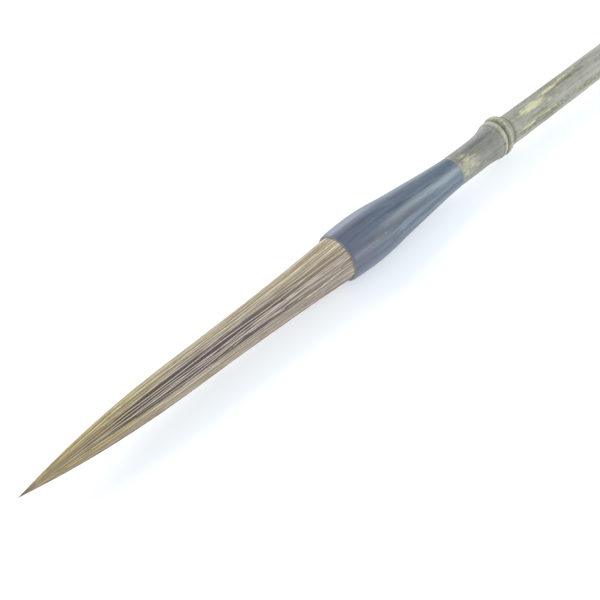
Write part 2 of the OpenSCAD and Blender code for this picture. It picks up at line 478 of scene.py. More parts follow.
def bamboo_material(settings):
    """Weathered bamboo skin: grey to olive, with fibres, dark stains and ragged pale scuffs."""
    material, tree, shader, place = new_material("bamboo_skin")
    scuff, stain, groove, ridge, shade = attributes(tree, "scuff", "stain", "groove", "ridge", "shade")
    fibre = grain(tree, place, 45.0, 2100.0, 0.22)
    band = grain(tree, place, 22.0, 330.0, 0.2)
    cloud = noise(tree, place, 75.0, 3.0, 0.6)
    speck = ramp(tree, noise(tree, stretched(tree, place, (700.0, 2400.0, 2400.0)), 1.0, 2.0), 0.36, 0.6)
    colour = mixed(tree, ramp(tree, cloud, 0.35, 0.7), settings.grey, settings.olive)
    colour = mixed(tree, times(tree, band, 0.35), colour, BAMBOO_BAND)
    colour = mixed(tree, 1.0, colour, mixed(tree, fibre, FIBRE_DARK, FIBRE_LIGHT), "MULTIPLY")
    blot, _ = patches(tree, place, stain, 180.0, 700.0, 1.1, 0.18)
    colour = mixed(tree, times(tree, blot, scaled(tree, speck, 0.6, 0.25)), colour, BAMBOO_STAIN)
    # a scuff is a worn patch with a dark rim, and inside it the bare bamboo
    worn, rim = patches(tree, place, scuff, 420.0, 900.0, 1.5, 0.2)
    colour = mixed(tree, times(tree, worn, 0.8), colour, BAMBOO_WORN)
    colour = mixed(tree, times(tree, rim, times(tree, speck, 0.45)), colour, BAMBOO_WORN_RIM)
    bare, _ = patches(tree, place, minus(tree, scuff, 0.12), 380.0, 1100.0, 1.5, 0.16)
    light = mixed(tree, fibre, [c * 0.78 for c in settings.scuff], settings.scuff)
    colour = mixed(tree, bare, colour, light)
    # pale lines on the joints: partly a painted highlight on each ring, partly the pale edge at the ferrule
    colour = mixed(tree, times(tree, ridge, scaled(tree, speck, -0.45, 1.0)), colour, BAMBOO_RIDGE_AND_HIGHLIGHT)
    colour = mixed(tree, shade, colour, mixed(tree, 1.0, colour, BAMBOO_SHADE, "MULTIPLY"))
    # darker in the joints' grooves: partly their own dark lines, partly painted shade and a painted shadow
    # behind each ring
    colour = mixed(tree, groove, colour, BAMBOO_GROOVE_AND_SHADE)
    paint(tree, shader, colour, scaled(tree, fibre, 0.1, scaled(tree, worn, 0.2, 0.48)))
    shader.inputs["Specular IOR Level"].default_value = 0.4
    bump(tree, shader, scaled(tree, worn, -0.6, fibre), 0.04 * MM, 0.6)
    return material


def wood_material():
    """Plain split bamboo of the dowel."""
    material, tree, shader, place = new_material("dowel_wood")
    fibre = grain(tree, place, 60.0, 1800.0, 0.25)
    colour = mixed(tree, fibre, (0.42, 0.30, 0.15), (0.62, 0.50, 0.30))
    paint(tree, shader, colour, scaled(tree, fibre, 0.15, 0.55))
    bump(tree, shader, fibre, 0.05 * MM, 0.6)
    return material


def resin_material(name, thin, thick, roughness):
    """Cast resin with cloudy depth."""
    material, tree, shader, place = new_material(name)
    cloud = noise(tree, place, 260.0, 4.0, 0.6)
    colour = mixed(tree, ramp(tree, cloud, 0.3, 0.7), thick, thin)
    paint(tree, shader, colour, scaled(tree, cloud, 0.2, roughness))
    shader.inputs["Coat Weight"].default_value = 0.5
    bump(tree, shader, cloud, 0.05 * MM, 0.4)
    return material


def thread_material():
    """Waxed two-ply thread."""
    material, tree, shader, place = new_material("waxed_thread")
    ply = put(
        tree, "ShaderNodeTexWave", {"Vector": place, "Scale": 900.0, "Distortion": 1.5},
        bands_direction="DIAGONAL").outputs["Fac"]
    colour = mixed(tree, ply, (0.50, 0.44, 0.33), (0.78, 0.73, 0.62))
    paint(tree, shader, colour, scaled(tree, ply, 0.1, 0.6))
    bump(tree, shader, ply, 0.05 * MM, 0.6)
    return material


# ---------- Mesh helpers ----------

def placed(name, mesh):
    """A new object at the origin, in the scene."""
    piece = bpy.data.objects.new(name, mesh)
    bpy.context.scene.collection.objects.link(piece)
    return piece


def rings_of(node):
    """The outside of a turned CAD node: the largest radius at each x, as (x, radius), from point to tail."""
    largest = {}
    for v in frame["nodes"][node].data.vertices:
        x = round(v.co.x, 6)
        r = math.hypot(v.co.y, v.co.z - AXIS_Z)
        largest[x] = max(r, largest.get(x, 0))
    return sorted(largest.items())


def smooth_line(stations, step):
    """More points on a smooth curve through (x, radius) stations, where they lie further apart than step."""
    xs, rs = (np.array(c) for c in zip(*stations))
    slope = np.gradient(rs, xs)
    line = []
    for i in range(len(xs) - 1):
        gap = xs[i + 1] - xs[i]
        count = max(1, math.ceil(gap / step))
        flat = (rs[i + 1] - rs[i]) / gap
        slack = abs(flat) + min(0.05, 0.1 * MM / gap)
        a, b = (np.clip(s, flat - slack, flat + slack) for s in (slope[i], slope[i + 1]))
        for k in range(count):
            t = k / count
            r = (
                rs[i] * (1 + 2 * t) * (1 - t) ** 2 + gap * a * t * (1 - t) ** 2
                + rs[i + 1] * t * t * (3 - 2 * t) + gap * b * t * t * (t - 1)
            )
            line.append((xs[i] + gap * t, float(r)))
    line.append((xs[-1], float(rs[-1])))
    return line


def turned(name, outline, columns, shape=None, values=None):
    """A closed solid turned about the brush's axis.

    outline is a list of (x, radius) that starts and ends on the axis. shape(x, r, angle) gives each point's
    own x and r, and values(x, r, angle) its attributes by name, as arrays.
    """
    xs, rs = (np.array(c)[:, None] for c in zip(*outline))
    angle = (np.arange(columns) * TAU / columns)[None, :]
    x, r = xs + 0 * angle, rs + 0 * angle
    if shape:
        x, r = shape(x, r, angle + 0 * xs)
    co = np.stack([x, r * np.cos(angle), AXIS_Z + r * np.sin(angle)], 2)[1:-1]
    rows = len(co)
    ends = np.array([[outline[0][0], 0, AXIS_Z], [outline[-1][0], 0, AXIS_Z]])
    corner = np.arange(rows * columns).reshape(rows, columns)
    beside = np.roll(corner, -1, 1)
    quads = np.stack([corner[:-1], beside[:-1], beside[1:], corner[1:]], 2).reshape(-1, 4)
    first, last = rows * columns, rows * columns + 1
    faces = quads.tolist()
    faces += [(first, int(b), int(a)) for a, b in zip(corner[0], beside[0])]
    faces += [(last, int(a), int(b)) for a, b in zip(corner[-1], beside[-1])]
    mesh = bpy.data.meshes.new(name)
    mesh.from_pydata(np.concatenate([co.reshape(-1, 3), ends]).tolist(), [], faces)
    for key, value in (values(x, r, angle + 0 * xs) if values else {}).items():
        data = np.concatenate([value[1:-1].ravel(), [value[0, 0], value[-1, 0]]]).astype(np.float32)
        mesh.attributes.new(key, "FLOAT", "POINT").data.foreach_set("value", data)
    return finished(name, mesh)


def finished(name, mesh):
    """A new object at the origin, with its normals outwards, smooth but for its sharp edges."""
    work = bmesh.new()
    work.from_mesh(mesh)
    bmesh.ops.recalc_face_normals(work, faces=work.faces)
    if work.calc_volume(signed=True) < 0:
        bmesh.ops.reverse_faces(work, faces=work.faces)
    work.to_mesh(mesh)
    work.free()
    mesh.shade_smooth()
    mesh.set_sharp_from_angle(angle=SHARP_EDGE)
    return placed(name, mesh)


def wave(angle, x, waves, seed):
    """A smooth uneven surface: a sum of waves round the axis and along it, with phases from seed.

    A wave is given by its length along the axis and its height.
    """
    draw = np.random.default_rng(seed)
    total = 0 * angle
    for length, amount in waves:
        turns = draw.integers(1, 5)
        total = total + amount * np.sin(turns * angle + x * TAU / length + draw.uniform(0, TAU))
    return total


def rise(distance, over):
    """0 up to a distance of 0, and a straight rise to 1 at a distance of over."""
    return np.clip(distance / over, 0, 1)


def turn_from(angle, side):
    """The turn from side to angle, from -pi to pi."""
    return (angle - side + math.pi) % TAU - math.pi


def spot(x, angle, at, side, half_length, half_turn):
    """1 at a place on the brush's surface, falling to 0 at the spot's edge."""
    far = ((x - at) / half_length) ** 2 + (turn_from(angle, side) / half_turn) ** 2
    return np.clip(1 - far, 0, 1)


def spots(x, angle, start, marks):
    """The strongest of some spots at each point.

    A mark is its place in mm from start, its turn from the front in radians, half its length in mm, half its
    width in radians, and its strength.
    """
    total = 0 * x
    for at, side, half_length, half_turn, strength in marks:
        mark = spot(x, angle, start + at * MM, FRONT_ANGLE + side, half_length * MM, half_turn)
        total = np.maximum(total, strength * mark)
    return total


def dress(piece, material):
    """Gives a piece its material."""
    piece.data.materials.clear()
    piece.data.materials.append(material)


# ---------- Tuft ----------

def tuft_radius(share):
    """Radius of the tuft at a share of its length from the point."""
    share = np.clip(share, 0, 1.05)
    flare = WAIST_SHARE + (1 - WAIST_SHARE) * share ** FLARE_POWER
    closing = (1 - np.minimum(share / POINT_ROUND, 1)) ** POINT_POWER
    return MOUTH_R * flare * (1 - closing)


def tuft_radius_nodes(tree, share, mouth_radius):
    """The same outline as nodes."""
    share = calc(tree, "MAXIMUM", share, 0.0)
    flare = scaled(tree, calc(tree, "POWER", share, FLARE_POWER), 1 - WAIST_SHARE, WAIST_SHARE)
    filled = calc(tree, "MINIMUM", calc(tree, "DIVIDE", share, POINT_ROUND), 1.0)
    closing = calc(tree, "POWER", minus(tree, 1.0, filled), POINT_POWER)
    return times(tree, times(tree, mouth_radius, flare), minus(tree, 1.0, closing))


def strands_from(tree, lines, radius, sides, material):
    """Lines made into solid strands with a material, which is how a tree ends."""
    ring = put(tree, "GeometryNodeCurvePrimitiveCircle", {"Resolution": sides, "Radius": 1.0}).outputs[0]
    strands = put(tree, "GeometryNodeCurveToMesh", {
        "Curve": lines, "Profile Curve": ring, "Scale": radius, "Fill Caps": True}).outputs[0]
    for kind in ("GeometryNodeSetShadeSmooth", "GeometryNodeRealizeInstances"):
        strands = put(tree, kind, {"Geometry": strands}).outputs[0]
    return put(tree, "GeometryNodeSetMaterial", {"Geometry": strands, "Material": material}).outputs[0]


def hair_tree():
    """One layer of hairs: lines from the ferrule's mouth towards the point, laid on the tuft's outline."""
    tree, given, out = new_tree("Hair layer", "GeometryNodeTree", (
        ("Hairs", "Int", 100), ("Points", "Int", HAIR_POINTS), ("Mouth", "Vector", None),
        ("Tuft length", "Float", 0.1), ("Mouth radius", "Float", 0.007), ("Root", "Float", 0.001),
        ("Hair width", "Float", 0.0003), ("Inset", "Float", 0.0), ("Depth", "Float", 0.1),
        ("Shortest", "Float", 0.4), ("Lift", "Float", 0.0),
        ("Wander", "Float", 0.05), ("Tone", "Float", 0.5), ("Streak", "Float", 0.4),
        ("Streak angle", "Float", 2.0), ("Streak twist", "Float", 0.0), ("Seed", "Int", 0),
        ("Material", "Material", None),
    ), (("Geometry", "Geometry"),))

    def chance(step, low=0.0, high=1.0):
        """A random number for each hair."""
        seed = plus(tree, given["Seed"], float(step))
        node = put(tree, "FunctionNodeRandomValue", {"ID": hair, "Seed": seed}, data_type="FLOAT")
        feed(tree, node.inputs[2], low)
        feed(tree, node.inputs[3], high)
        return node.outputs[1]

    hair = put(tree, "GeometryNodeCurveOfPoint").outputs["Curve Index"]
    along = put(tree, "GeometryNodeSplineParameter").outputs["Factor"]
    start = put(tree, "GeometryNodePoints", {"Count": given["Hairs"]}).outputs[0]
    line = put(tree, "GeometryNodeCurvePrimitiveLine", {"End": (1.0, 0.0, 0.0)}).outputs[0]
    line = put(tree, "GeometryNodeResampleCurve", {"Curve": line, "Count": given["Points"]}).outputs[0]
    lines = put(tree, "GeometryNodeInstanceOnPoints", {"Points": start, "Instance": line}).outputs[0]
    lines = put(tree, "GeometryNodeRealizeInstances", {"Geometry": lines}).outputs[0]

    # how far each point is from the mouth, and its share of the length from the tuft's point
    cut = times(tree, minus(tree, 1.0, given["Shortest"]), calc(tree, "POWER", chance(1), 3.0))
    reach = times(tree, given["Tuft length"], minus(tree, 1.0, cut))
    span = times(tree, along, plus(tree, reach, given["Root"]))
    ahead = minus(tree, span, given["Root"])
    share = minus(tree, 1.0, calc(tree, "DIVIDE", ahead, given["Tuft length"]))

    # the angle round the axis: steps that spread the hairs evenly, jitter, and a slow wander along the hair
    even_step = math.pi * (3 - math.sqrt(5))
    angle = plus(tree, times(tree, hair, even_step), chance(2, -0.1, 0.1))
    drift = put(tree, "ShaderNodeTexNoise", {
        "W": scaled(tree, ahead, 28.0, chance(3, 0.0, 900.0)), "Scale": 1.0, "Detail": 1.0,
    }, noise_dimensions="1D").outputs[0]
    turn = plus(tree, angle, times(tree, minus(tree, drift, 0.5), given["Wander"]))
    across_y, across_z = calc(tree, "COSINE", turn), calc(tree, "SINE", turn)

    # the distance from the axis
    hull = tuft_radius_nodes(tree, share, given["Mouth radius"])
    sunk = scaled(tree, calc(tree, "POWER", chance(4), 1.4), given["Depth"], given["Inset"])
    radius = times(tree, hull, minus(tree, 1.0, sunk))
    arch = calc(tree, "SINE", times(tree, along, math.pi))
    raised = times(tree, times(tree, arch, given["Lift"]), chance(5, 0.3, 1.0))
    radius = plus(tree, radius, raised)
    thick = times(tree, times(tree, given["Hair width"], 0.5), chance(6, 0.65, 1.15))
    thick = times(tree, thick, ramp(tree, along, 0.7, 1.0, 1.0, 0.25))
    thick = calc(tree, "MINIMUM", thick, scaled(tree, hull, 0.35, 0.08 * MM))
    radius = calc(tree, "MAXIMUM", minus(tree, radius, thick), 0.0)

    mouth = put(tree, "ShaderNodeSeparateXYZ", {0: given["Mouth"]}).outputs
    place = xyz(
        tree,
        minus(tree, mouth[0], ahead),
        scaled(tree, radius, across_y, mouth[1]),
        scaled(tree, radius, across_z, mouth[2]),
    )
    lines = put(tree, "GeometryNodeSetPosition", {"Geometry": lines, "Position": place}).outputs[0]

    def near(middle):
        """How near the hair is to an angle round the axis: 1 there, and less to both sides."""
        return calc(tree, "COSINE", minus(tree, turn, middle))

    def locks(across, lengthwise, amount):
        """Light and dark locks. across and lengthwise say how fine they are."""
        lock_place = stretched(tree, xyz(tree, across_y, across_z, ahead), (across, across, lengthwise))
        return times(tree, minus(tree, noise(tree, lock_place, 1.0, 2.0), 0.5), amount)

    # each hair's tone: its own chance, slow locks of light and dark, and one long dark streak
    locked = plus(tree, locks(2.6, 9.0, 0.45), locks(13.0, 7.0, 0.5))
    locked = times(tree, locked, ramp(tree, share, 0.15, 0.45, 0.45, 1.0))
    tone = plus(tree, plus(tree, given["Tone"], locked), chance(7, -0.1, 0.1))
    inside = near(scaled(tree, share, given["Streak twist"], given["Streak angle"]))
    inside = ramp(tree, inside, math.cos(0.5), math.cos(0.2))
    fade = times(tree, ramp(tree, share, 0.18, 0.36), ramp(tree, share, 0.95, 0.55, 0.12, 1.0))
    streak = times(tree, times(tree, inside, fade), given["Streak"])
    tone = minus(tree, tone, times(tree, streak, chance(8, 0.85, 1.1)))
    # paler towards the ferrule, most of all in the last of each hair, and a little darker on the under side
    # as painted shade
    under = ramp(tree, across_z, 0.6, -0.3, 0.0, 0.13)
    ends = times(tree, ramp(tree, ahead, 0.5 * MM, 1.8 * MM, 0.3, 0.0), chance(9))
    tone = plus(tree, minus(tree, tone, under), ends)
    tone = plus(tree, tone, ramp(tree, share, 0.6, 1.0, 0.0, 0.07))
    # a pale band on each side of the streak
    for side, amount in ((-0.66, 0.18), (0.62, ramp(tree, share, 0.66, 0.4, 0.0, 0.14))):
        tone = scaled(tree, ramp(tree, near(FRONT_ANGLE + side), 0.93, 1.0), amount, tone)
    # how golden each hair is: more towards the upper side, which is painted light, and in patches
    hue_place = xyz(
        tree, scaled(tree, across_y, 1.8, 5.0), times(tree, across_z, 1.8), times(tree, ahead, 9.0))
    hue = scaled(tree, near(UPPER_ANGLE + 0.4), 0.24, noise(tree, hue_place, 1.0, 1.0))
    gold = ramp(tree, plus(tree, hue, chance(10, -0.1, 0.1)), 0.46, 0.74)
    for name, value in (("tone", tone), ("share", share), ("gold", gold), ("strand", chance(11))):
        lines = put(
            tree, "GeometryNodeStoreNamedAttribute", {"Geometry": lines, "Name": name, "Value": value},
            data_type="FLOAT", domain="POINT").outputs[0]

    tree.links.new(strands_from(tree, lines, thick, HAIR_SIDES, given["Material"]), out["Geometry"])
    return tree


def grown(name, tree, inputs):
    """Runs a Geometry Nodes tree on an empty mesh and returns the result as a plain mesh object."""
    holder = placed(name + "_holder", bpy.data.meshes.new(name + "_holder"))
    modifier = holder.modifiers.new("Layer", "NODES")
    modifier.node_group = tree
    for socket in tree.interface.items_tree:
        if socket.item_type == "SOCKET" and socket.in_out == "INPUT" and socket.name in inputs:
            modifier[socket.identifier] = inputs[socket.name]
    result = holder.evaluated_get(bpy.context.evaluated_depsgraph_get())
    mesh = bpy.data.meshes.new_from_object(result)
    holder.modifiers.clear()
    bpy.data.objects.remove(holder)
    mesh.name = name
    return placed(name, mesh)


def bend_with_joint(piece):
    """Bakes the piece's transform into its mesh."""
    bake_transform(piece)


def core_bundle(name, settings):
    """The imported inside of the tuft: a turned solid with a ridge for each hair."""
    ridges = 96
    size = 0.93             # of the radius of the tuft's outline
    ridge_depth = 0.035     # of the core's own radius
    inside = 2 * MM         # how far it reaches into the ferrule
    heights = np.arange(-inside, TUFT_LENGTH * 0.985, 1.2 * MM)
    outline = [(MOUTH_X + inside, 0)]
    outline += [(MOUTH_X - h, float(tuft_radius(1 - h / TUFT_LENGTH)) * size) for h in heights]
    outline.append((outline[-1][0] - 0.2 * MM, 0))
    draw = np.random.default_rng(settings.seed)
    tones = draw.uniform(0.1, 0.45, ridges * 2)

    def shape(x, r, angle):
        groove = 0.5 + 0.5 * np.cos(angle * ridges + 0.6 * np.sin(x * TAU / (31 * MM) + 3 * angle))
        return x, r * (1 - ridge_depth * groove)

    def values(x, r, angle):
        tone = tones[(angle / TAU * len(tones)).astype(int) % len(tones)]
        share = 1 - (MOUTH_X - x) / TUFT_LENGTH
        return {"tone": tone, "share": share, "strand": tone * 2, "gold": 0 * x + 0.4}

    return turned(name, outline[::-1], ridges * 2, shape, values)


class BRUSH_OT_tuft(bpy.types.Operator):
    """Build the tuft: its core, its waist hairs, the cover hairs and a few pale hairs"""
    bl_idname = "brush.tuft"
    bl_label = "Tuft"

    def execute(self, context):
        settings = context.scene.brush_tuft
        outer = hair_material("cover_hair", settings, 0.0)
        # the inner hair is darker, as painted shade under the cover hair
        inner = hair_material("inner_hair", settings, 0.16)
        tree = hair_tree()
        shared = {
            "Points": HAIR_POINTS, "Mouth": (MOUTH_X, 0, AXIS_Z), "Tuft length": TUFT_LENGTH,
            "Mouth radius": MOUTH_R, "Root": 1.2 * MM, "Hairs": settings.hairs,
            "Hair width": settings.hair_width, "Streak": settings.streak, "Streak angle": FRONT_ANGLE - 0.04,
            "Streak twist": 0.2,
        }
        layers = {
            "waist_hair_layer": {
                "Hairs": 260, "Inset": 0.16, "Depth": 0.1, "Shortest": 0.25, "Hair width": 0.4 * MM,
                "Tone": 0.3, "Wander": 0.12, "Material": inner},
            "under_hair_layer": {
                "Inset": 0.05, "Depth": 0.06, "Shortest": 0.5,
                "Tone": 0.3, "Wander": 0.16, "Material": inner},
            "cover_hair_layer_a": {
                "Inset": 0.012, "Depth": 0.05, "Shortest": 0.45,
                "Tone": 0.35, "Wander": 0.1, "Material": outer},
            "cover_hair_layer_b": {
                "Inset": 0.0, "Depth": 0.05, "Shortest": 0.3,
                "Tone": 0.4, "Wander": 0.16, "Material": outer},
            # these nearly white hairs are partly painted glints
            "pale_hairs": {
                "Hairs": 80, "Inset": -0.002, "Depth": 0.01, "Shortest": 0.2, "Hair width": 0.3 * MM,
                "Tone": 1.05, "Streak": 0.0, "Wander": 0.4, "Lift": 0.08 * MM, "Material": outer},
        }
        stands_for = {
            "waist_hair_layer": ("waist_hairs",),
            "under_hair_layer": ("core_hairs_point",),
            "cover_hair_layer_a": ("cover_hairs_belly",),
            "cover_hair_layer_b": ("cover_hairs_point",),
        }
        for number, (name, own) in enumerate(layers.items(), 1):
            piece = grown(name, tree, {**shared, **own, "Seed": settings.seed + 100 * number})
            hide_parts(*stands_for.get(name, ()))
            bend_with_joint(piece)
        core = core_bundle("core_hair_bundle", settings)
        dress(core, inner)
        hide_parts("core_hairs_belly", "core_hairs_point")
        bend_with_joint(core)
        return {"FINISHED"}


# ---------- Root ----------

def thread_tree():
    """A thread wound round the axis in even turns."""
    tree, given, out = new_tree("Wound thread", "GeometryNodeTree", (
        ("Start", "Vector", None), ("Band length", "Float", 0.004), ("Turns", "Float", 7.0),
        ("Radius", "Float", 0.007), ("Thread width", "Float", 0.0005), ("Material", "Material", None),
    ), (("Geometry", "Geometry"),))
    line = put(tree, "GeometryNodeCurvePrimitiveLine", {"End": (1.0, 0.0, 0.0)}).outputs[0]
    line = put(tree, "GeometryNodeResampleCurve", {"Curve": line, "Count": THREAD_POINTS}).outputs[0]
    along = put(tree, "GeometryNodeSplineParameter").outputs["Factor"]
    angle = times(tree, times(tree, along, given["Turns"]), TAU)
    start = put(tree, "ShaderNodeSeparateXYZ", {0: given["Start"]}).outputs
    place = xyz(
        tree,
        scaled(tree, along, given["Band length"], start[0]),
        scaled(tree, given["Radius"], calc(tree, "COSINE", angle), start[1]),
        scaled(tree, given["Radius"], calc(tree, "SINE", angle), start[2]),
    )
    line = put(tree, "GeometryNodeSetPosition", {"Geometry": line, "Position": place}).outputs[0]
    half = times(tree, given["Thread width"], 0.5)
    tree.links.new(strands_from(tree, line, half, THREAD_SIDES, given["Material"]), out["Geometry"])
    return tree


def root_bundle(name):
    """The bound root: the hairs' ends, squeezed under the thread."""
    flutes = 72
    flute_depth = 0.012
    outline = [(x, r - 0.06 * MM) for x, r in smooth_line(rings_of("hair_root"), 0.4 * MM)]
    outline = [(outline[0][0], 0)] + outline + [(outline[-1][0], 0)]
    return turned(
        name, outline, flutes * 2,
        lambda x, r, angle: (x, r * (1 - flute_depth - flute_depth * np.cos(angle * flutes))),
        lambda x, r, angle: {
            "tone": 0.35 + 0.2 * np.cos(angle * 17), "share": 0 * x + 1, "strand": angle,
            "gold": 0 * x + 0.5})


class BRUSH_OT_root(bpy.types.Operator):
    """Build the bound root inside the ferrule, its thread, seal and resin"""
    bl_idname = "brush.root"
    bl_label = "Root"

    def execute(self, context):
        bundle = root_bundle("bound_root")
        dress(bundle, bpy.data.materials["inner_hair"])
        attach(bundle, HANDLE_BODY)
        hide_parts("hair_root")
        # the thread's rings lie in two bands with a clear gap between them
        rings = rings_of("root_thread")
        places = sorted({round(x, 5) for x, r in rings})
        split = max(range(1, len(places)), key=lambda i: places[i] - places[i - 1])
        tree = thread_tree()
        radius = max(r for x, r in rings)
        for name, band in (("front_binding", places[:split]), ("back_binding", places[split:])):
            low, high = band[0] + THREAD_WIDTH / 2, band[-1] - THREAD_WIDTH / 2
            piece = grown(name, tree, {
                "Start": (low, 0, AXIS_Z), "Band length": high - low,
                "Turns": (high - low) / (1.1 * THREAD_WIDTH), "Radius": radius - THREAD_WIDTH / 2,
                "Thread width": THREAD_WIDTH * 0.96, "Material": look("waxed_thread", thread_material)})
            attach(piece, HANDLE_BODY)
            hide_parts("root_thread")
        amber = resin_material("amber_resin", (0.55, 0.36, 0.12), (0.33, 0.18, 0.05), roughness=0.12)
        brown = resin_material("brown_rosin", (0.24, 0.10, 0.03), (0.09, 0.035, 0.012), roughness=0.3)
        looks = {
            "ferrule_dowel": (wood_material(), "dowel"), "cup_resin": (amber, "resin"),
            "root_seal": (brown, "rosin"),
        }
        for node, (material, slot) in looks.items():
            dress(frame["nodes"][node], material)
        return {"FINISHED"}


# ---------- Ferrule ----------

# Streaks of the horn, as marks for spots(), with places from the ferrule's mouth and from the cap's end. The
# ferrule's pale ones are partly a painted sheen on the side that shows most.
CAP_PALE_STREAKS = ((0, -0.4, 16, 0.6, 0.5),)
CAP_DARK_STREAKS = ((0, 0.5, 16, 0.3, 0.7),)
FERRULE_PALE_STREAKS_AND_SHEEN = ((48, -0.02, 34, 0.4, 0.8), (16, 0.5, 18, 0.35, 0.6), (34, 3.0, 40, 0.5, 0.6))
FERRULE_DARK_STREAKS = ((22, 0.2, 24, 0.2, 0.85), (38, 0.75, 22, 0.16, 0.7))


class BRUSH_OT_ferrule(bpy.types.Operator):
    """Turn the horn ferrule, with its cup and its socket"""
    bl_idname = "brush.ferrule"
    bl_label = "Ferrule"

    def execute(self, context):
        socket_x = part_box("ferrule_dowel")[0].x - GLUE_GAP
        inside = {round(CUP_END_X, 6), round(socket_x, 6)}
        skin = [(x, r) for x, r in rings_of("horn_ferrule") if x not in inside]
        lip_end = MOUTH_X + 0.3 * MM
        lip = [p for p in skin if p[0] < lip_end]
        back = skin[-1]
        body = smooth_line([p for p in skin if p not in lip and p is not back], 0.7 * MM)
        bore = smooth_line([(MOUTH_X + 0.1 * MM, CUP_R), (CUP_END_X, CUP_R)], 1.5 * MM)
        outline = [(CUP_END_X, 0)] + bore[::-1] + [(MOUTH_X, CUP_R + 0.1 * MM)] + lip + body + [back]
        outline += [(back[0], DOWEL_R), (socket_x, DOWEL_R), (socket_x, 0)]

        def shape(x, r, angle):
            outside = r > CUP_R * 1.02
            uneven = wave(angle, x, ((90 * MM, 0.035 * MM), (37 * MM, 0.02 * MM), (21 * MM, 0.012 * MM)), 4)
            clear = rise(x - MOUTH_X, 3 * MM) * rise(back[0] - x, 4 * MM)
            return x, r + np.where(outside, uneven * clear - 0.03 * MM * clear, 0)

        def values(x, r, angle):
            return {
                "pale": spots(x, angle, MOUTH_X, FERRULE_PALE_STREAKS_AND_SHEEN),
                "dark": spots(x, angle, MOUTH_X, FERRULE_DARK_STREAKS)}

        ferrule = turned("turned_ferrule", outline, 144, shape, values)
        dress(ferrule, look("dark_horn", horn_material, context.scene.brush_horn))
        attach(ferrule, HANDLE_BODY)
        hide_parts("horn_ferrule")
        return {"FINISHED"}


# ---------- Handle ----------

def joint_places():
    """Where the handle's two ridges are highest."""
    rings = rings_of("bamboo_handle")
    middle = (rings[0][0] + rings[-1][0]) / 2
    front = [p for p in rings if p[0] < middle]
    rear = [p for p in rings if p[0] >= middle]
    return [max(half, key=lambda p: p[1])[0] for half in (front, rear)]


# Worn patches and stains near the ferrule, as marks for spots() but with their turns and widths in degrees.
SCUFFS = (
    (4, 14, 10, 60, 0.62), (3, -30, 5, 30, 0.5), (41, -22, 11, 24, 0.85), (52, -38, 9, 14, 0.74),
    (61, -46, 8, 10, 0.6), (36, 34, 8, 8, 0.72), (47, 31, 9, 7, 0.7), (68, -50, 6, 10, 0.6),
    (51, 0, 7, 12, 0.5),
)
STAINS = (
    (45, 42, 24, 24, 0.85), (48, -62, 24, 12, 0.75), (64, -30, 20, 14, 0.6), (26, 30, 8, 30, 0.6),
    (74, 42, 24, 20, 0.75), (12, 40, 12, 18, 0.5), (40, 16, 12, 14, 0.6),
)
NEAR_END = 70 * MM      # how far from the ferrule those patches reach

# Lines round a joint: the place of each in mm from the joint, half its width in mm, and its strength.
# The grooves are partly the joints' own dark lines and partly painted shade; the widest, behind the ring, is
# a painted shadow.
JOINT_GROOVES = ((-4.4, 0.3, 0.5), (-1.75, 0.35, 0.95), (0.9, 0.3, 0.45), (2.9, 1.1, 0.8))
# The pale ridge lines are partly a painted highlight on the ring's front face.
JOINT_RIDGES = ((-2.9, 0.8, 0.75), (-0.3, 0.6, 0.6))


def in_radians(marks):
    return [(at, math.radians(side), half_length, math.radians(half_turn), strength)
            for at, side, half_length, half_turn, strength in marks]


def lines_round(place, lines, reach):
    """The strongest of some lines round a joint. place is the distance from the joint."""
    total = 0 * place
    for at, half, strength in lines:
        total = np.maximum(total, strength * np.clip(reach - np.abs(place - at * MM) / (half * MM), 0, 1))
    return total


def scuffs_and_stains(x, angle, start, end):
    """The handle's worn patches and stains: some placed near the ferrule, the rest drawn at random."""
    scuff = spots(x, angle, start, in_radians(SCUFFS))
    stain = spots(x, angle, start, in_radians(STAINS))
    draw = np.random.default_rng(23)
    for _ in range(34):
        at = draw.uniform(start + NEAR_END, end)
        side = draw.uniform(0, TAU)
        size = draw.uniform(3, 11) * MM
        width = draw.uniform(0.12, 0.45)
        scuff = np.maximum(scuff, draw.uniform(0.35, 0.75) * spot(x, angle, at, side, size, width))
        at = draw.uniform(start, end)
        side = draw.uniform(0, TAU)
        stain = np.maximum(stain, draw.uniform(0.3, 0.6) * spot(x, angle, at, side, size * 2, width))
    # near the ferrule, random patches lie only on the side away from the front
    hidden = np.abs(turn_from(angle, FRONT_ANGLE)) > math.radians(85)
    for _ in range(10):
        at = draw.uniform(start, start + NEAR_END)
        side = draw.uniform(0, TAU)
        size = draw.uniform(3, 9) * MM
        patch = draw.uniform(0.4, 0.7) * spot(x, angle, at, side, size, 0.35)
        scuff = np.maximum(scuff, np.where(hidden, patch, 0))
    return scuff, stain


